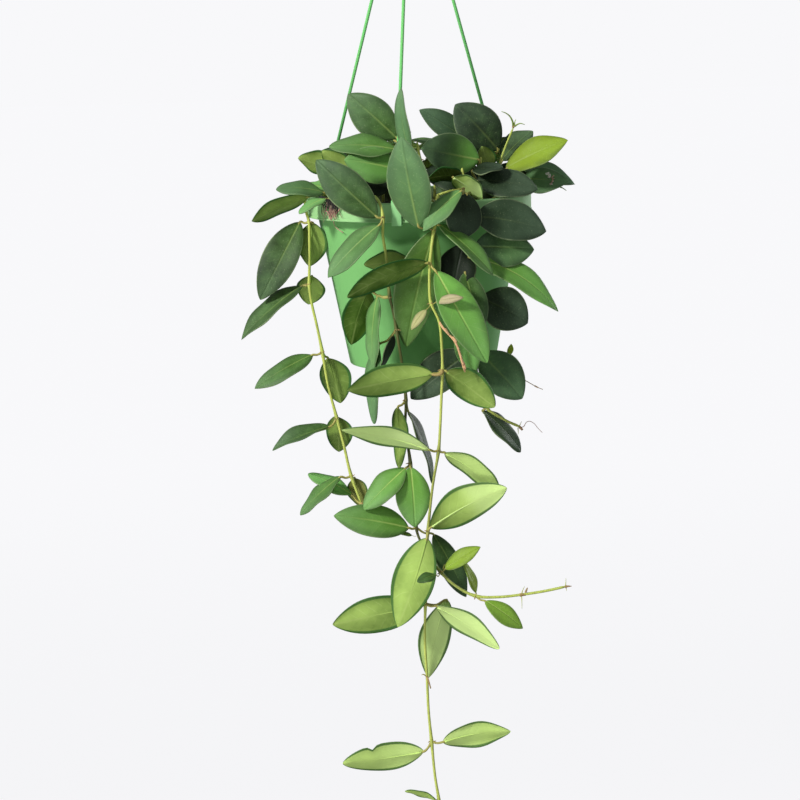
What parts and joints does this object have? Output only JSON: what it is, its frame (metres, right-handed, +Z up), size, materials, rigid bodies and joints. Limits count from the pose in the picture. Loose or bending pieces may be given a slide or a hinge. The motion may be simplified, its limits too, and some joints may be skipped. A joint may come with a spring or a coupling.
{
  "type": "potted hoya plant",
  "caption": "Trailing plant with fleshy pointed oval leaves, in a tapered plastic nursery pot of soil that hangs from a hook by three straight strands.",
  "frame": {"origin": "the point where the hook's inner curve bears on what holds it, on the pot's axis", "axes": "+Z up along the pot's axis, +X to the right and +Y away from the camera in the picture"},
  "size_m": [0.2241, 0.208, 0.6974],
  "materials": {
    "pot_plastic": "satin pale green, slightly translucent",
    "hanger_plastic": "satin mid green",
    "soil": "dark crumbly potting mix",
    "foliage": "fleshy green leaves, satin above and paler beneath"
  },
  "bodies": {
    "root": {"hanger_hook": "hanger_plastic", "hanger_strand_front": "hanger_plastic", "hanger_strand_left": "hanger_plastic", "hanger_strand_right": "hanger_plastic", "pot": "pot_plastic", "soil": "soil", "vine_main": "foliage", "vine_centre": "foliage", "vine_left": "foliage", "vine_right": "foliage", "crown_front": "foliage", "crown_centre": "foliage", "crown_left": "foliage", "crown_right_front": "foliage", "crown_right": "foliage", "crown_young": "foliage", "crown_far_right": "foliage", "crown_back_right": "foliage", "crown_middle": "foliage", "crown_back_left": "foliage", "crown_back": "foliage", "trail_back_left": "foliage", "trail_back_right": "foliage", "crown_side_left": "foliage", "crown_side_right": "foliage", "crown_back_outer": "foliage"}
  },
  "joints": []
}
